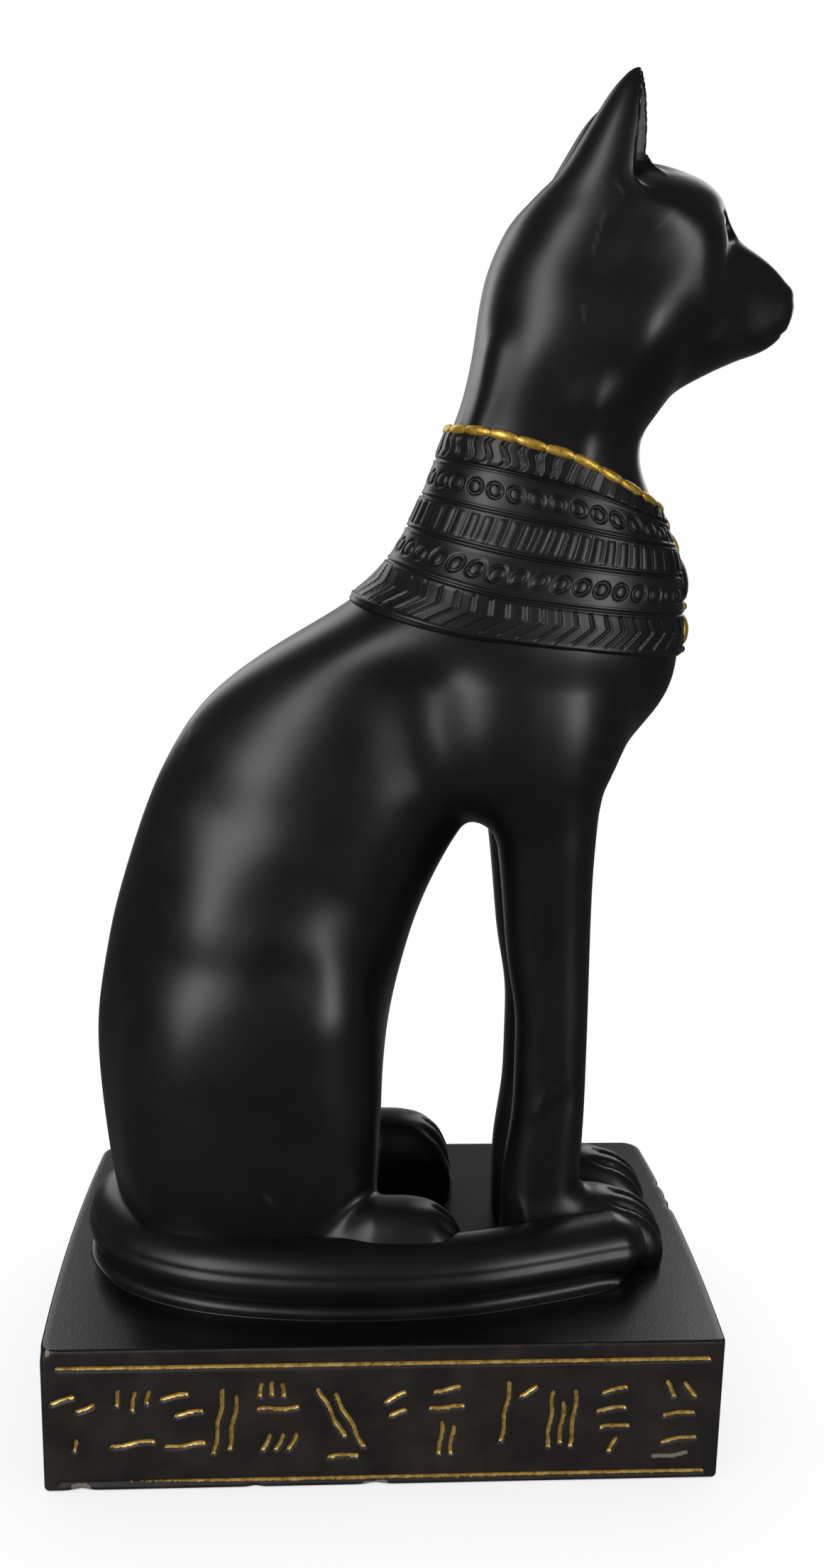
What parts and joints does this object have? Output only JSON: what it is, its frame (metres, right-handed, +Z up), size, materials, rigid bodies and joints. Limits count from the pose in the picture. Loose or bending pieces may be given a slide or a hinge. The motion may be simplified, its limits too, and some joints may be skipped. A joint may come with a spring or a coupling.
{
  "type": "cat figure",
  "caption": "Seated upright cat on an oblong plinth, with a banded relief collar, a tail along one side and a marked band.",
  "frame": {"origin": "middle of the plinth's flat underside, halfway between its ends and between its long sides", "axes": "+X the way the cat faces, +Y to the cat's left, away from its tail, +Z up"},
  "size_m": [0.1145, 0.068, 0.21],
  "materials": {
    "black_paint": "satin black paint on cast resin",
    "gold_paint": "mica gold craft paint, brushed over the black on the collar's rim and the pendant and into the plinth's grooves"
  },
  "bodies": {
    "root": {"bastet_cat_figure": "black_paint"}
  },
  "joints": []
}
